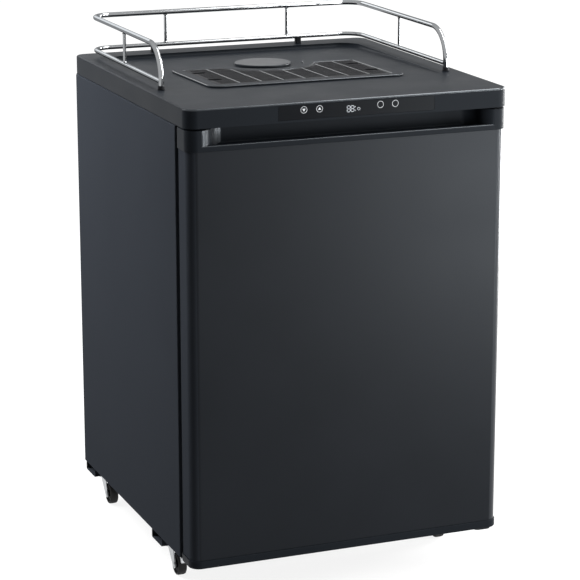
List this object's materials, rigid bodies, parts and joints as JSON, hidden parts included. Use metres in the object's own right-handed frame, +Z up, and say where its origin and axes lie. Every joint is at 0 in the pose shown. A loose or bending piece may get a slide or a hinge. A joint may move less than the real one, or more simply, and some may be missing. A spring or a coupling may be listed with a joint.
{
  "type": "kegerator",
  "caption": "Free-standing cooling cabinet for a beer keg, with a hinged door, a moulded worktop with guard rail, drip tray and covered tower hole, on swivelling casters.",
  "frame": {"origin": "on the floor under the middle of the worktop's outline", "axes": "+Z up, the door faces -Y, +X to the right of someone facing the door"},
  "size_m": [0.605, 0.65, 0.9812],
  "materials": {
    "black_moulding": "satin moulded dark grey",
    "black_paint": "satin black paint on steel sheet",
    "chrome_tube": "polished chrome plate",
    "gloss_black": "gloss black strip and buttons",
    "dark_plastic": "matt black moulding",
    "white_liner": "white vacuum-formed liner",
    "foam": "yellow insulating foam",
    "zinc_steel": "bright zinc-plated pressed steel",
    "black_rubber": "matt black rubber",
    "circuit_board": "green circuit board",
    "compressor_paint": "black paint on a pressed steel can",
    "copper_pipe": "drawn copper",
    "bright_aluminium": "mill aluminium sheet"
  },
  "bodies": {
    "cabinet": {"worktop": "black_moulding", "control_lens": "gloss_black", "control_board": "circuit_board", "tower_hole_sleeve": "dark_plastic", "guard_rail_top": "chrome_tube", "guard_rail_bottom": "chrome_tube", "rail_spindle_left": "chrome_tube", "rail_spindle_right": "chrome_tube", "rail_spindle_back_left": "chrome_tube", "rail_spindle_back_right": "chrome_tube", "rail_foot_front_left": "dark_plastic", "rail_foot_front_right": "dark_plastic", "rail_foot_back_left": "dark_plastic", "rail_foot_back_right": "dark_plastic", "cabinet_shell": "black_paint", "back_panel": "black_paint", "base_pan": "black_paint", "inner_liner": "white_liner", "cabinet_insulation": "foam", "machine_bay_panel": "zinc_steel", "gas_line_plug": "black_rubber", "hinge_bracket_top": "black_paint", "hinge_bracket_bottom": "black_paint", "keg_floor_plate": "zinc_steel", "evaporator_plate": "bright_aluminium", "evaporator_cover": "white_liner", "fan_motor": "compressor_paint", "compressor": "compressor_paint", "relay_box": "dark_plastic", "evaporation_pan": "dark_plastic", "discharge_pipe": "copper_pipe", "suction_pipe": "copper_pipe", "caster_plate_front_left": "zinc_steel", "caster_plate_front_right": "zinc_steel", "caster_plate_rear_left": "zinc_steel", "caster_plate_rear_right": "zinc_steel"},
    "door": {"door_skin": "black_paint", "door_top_cap": "black_moulding", "door_bottom_cap": "black_moulding", "door_insulation": "foam", "door_liner": "white_liner", "door_gasket": "black_rubber"},
    "cooler_button": {"button_cooler": "gloss_black"},
    "warmer_button": {"button_warmer": "gloss_black"},
    "units_button": {"button_units": "gloss_black"},
    "chill_button": {"button_chill": "gloss_black"},
    "hole_cover": {"tower_hole_cover": "black_moulding"},
    "tray": {"drip_tray": "black_moulding"},
    "grille": {"drip_grille": "black_moulding"},
    "fan": {"fan_impeller": "dark_plastic"},
    "fork_front_left": {"caster_fork_front_left": "zinc_steel"},
    "fork_front_right": {"caster_fork_front_right": "zinc_steel"},
    "fork_rear_left": {"caster_fork_rear_left": "zinc_steel"},
    "fork_rear_right": {"caster_fork_rear_right": "zinc_steel"},
    "wheel_front_left": {"caster_wheel_front_left": "black_rubber"},
    "wheel_front_right": {"caster_wheel_front_right": "black_rubber"},
    "wheel_rear_left": {"caster_wheel_rear_left": "black_rubber"},
    "wheel_rear_right": {"caster_wheel_rear_right": "black_rubber"},
    "pedal_front_left": {"brake_pedal_front_left": "zinc_steel"},
    "pedal_front_right": {"brake_pedal_front_right": "zinc_steel"}
  },
  "joints": [
    {"name": "door_hinge", "type": "hinge", "parent": "cabinet", "child": "door", "pos_m": [0.2805, -0.301, 0.47], "axis": [0, 0, 1], "range_deg": [0, 130]},
    {"name": "cooler_press", "type": "slide", "parent": "cabinet", "child": "cooler_button", "axis": [0, 1, 0], "range_m": [0, 0.0008], "stiffness_N_per_m": 600, "springref_m": -0.0005},
    {"name": "warmer_press", "type": "slide", "parent": "cabinet", "child": "warmer_button", "axis": [0, 1, 0], "range_m": [0, 0.0008], "stiffness_N_per_m": 600, "springref_m": -0.0005},
    {"name": "units_press", "type": "slide", "parent": "cabinet", "child": "units_button", "axis": [0, 1, 0], "range_m": [0, 0.0008], "stiffness_N_per_m": 600, "springref_m": -0.0005},
    {"name": "chill_press", "type": "slide", "parent": "cabinet", "child": "chill_button", "axis": [0, 1, 0], "range_m": [0, 0.0008], "stiffness_N_per_m": 600, "springref_m": -0.0005},
    {"name": "cover_lift", "type": "slide", "parent": "cabinet", "child": "hole_cover", "axis": [0, 0.0168, 0.9999], "range_m": [0, 0.05]},
    {"name": "tray_lift", "type": "slide", "parent": "cabinet", "child": "tray", "axis": [0, 0.0168, 0.9999], "range_m": [0, 0.06]},
    {"name": "grille_lift", "type": "slide", "parent": "tray", "child": "grille", "axis": [0, 0.0168, 0.9999], "range_m": [0, 0.05]},
    {"name": "fan_spin", "type": "hinge", "parent": "cabinet", "child": "fan", "pos_m": [0, 0.2437, 0.715], "axis": [0, 1, 0], "continuous": true},
    {"name": "swivel_front_left", "type": "hinge", "parent": "cabinet", "child": "fork_front_left", "pos_m": [-0.262, -0.127, 0.055], "axis": [0, 0, 1], "continuous": true},
    {"name": "swivel_front_right", "type": "hinge", "parent": "cabinet", "child": "fork_front_right", "pos_m": [0.262, -0.127, 0.055], "axis": [0, 0, 1], "continuous": true},
    {"name": "swivel_rear_left", "type": "hinge", "parent": "cabinet", "child": "fork_rear_left", "pos_m": [-0.262, 0.286, 0.055], "axis": [0, 0, 1], "continuous": true},
    {"name": "swivel_rear_right", "type": "hinge", "parent": "cabinet", "child": "fork_rear_right", "pos_m": [0.262, 0.286, 0.055], "axis": [0, 0, 1], "continuous": true},
    {"name": "roll_front_left", "type": "hinge", "parent": "fork_front_left", "child": "wheel_front_left", "pos_m": [-0.262, -0.145, 0.021], "axis": [1, 0, 0], "continuous": true},
    {"name": "roll_front_right", "type": "hinge", "parent": "fork_front_right", "child": "wheel_front_right", "pos_m": [0.262, -0.145, 0.021], "axis": [1, 0, 0], "continuous": true},
    {"name": "roll_rear_left", "type": "hinge", "parent": "fork_rear_left", "child": "wheel_rear_left", "pos_m": [-0.262, 0.268, 0.021], "axis": [1, 0, 0], "continuous": true},
    {"name": "roll_rear_right", "type": "hinge", "parent": "fork_rear_right", "child": "wheel_rear_right", "pos_m": [0.262, 0.268, 0.021], "axis": [1, 0, 0], "continuous": true},
    {"name": "brake_front_left", "type": "hinge", "parent": "fork_front_left", "child": "pedal_front_left", "pos_m": [-0.262, -0.139, 0.0468], "axis": [1, 0, 0], "range_deg": [0, 16]},
    {"name": "brake_front_right", "type": "hinge", "parent": "fork_front_right", "child": "pedal_front_right", "pos_m": [0.262, -0.139, 0.0468], "axis": [1, 0, 0], "range_deg": [0, 16]}
  ]
}
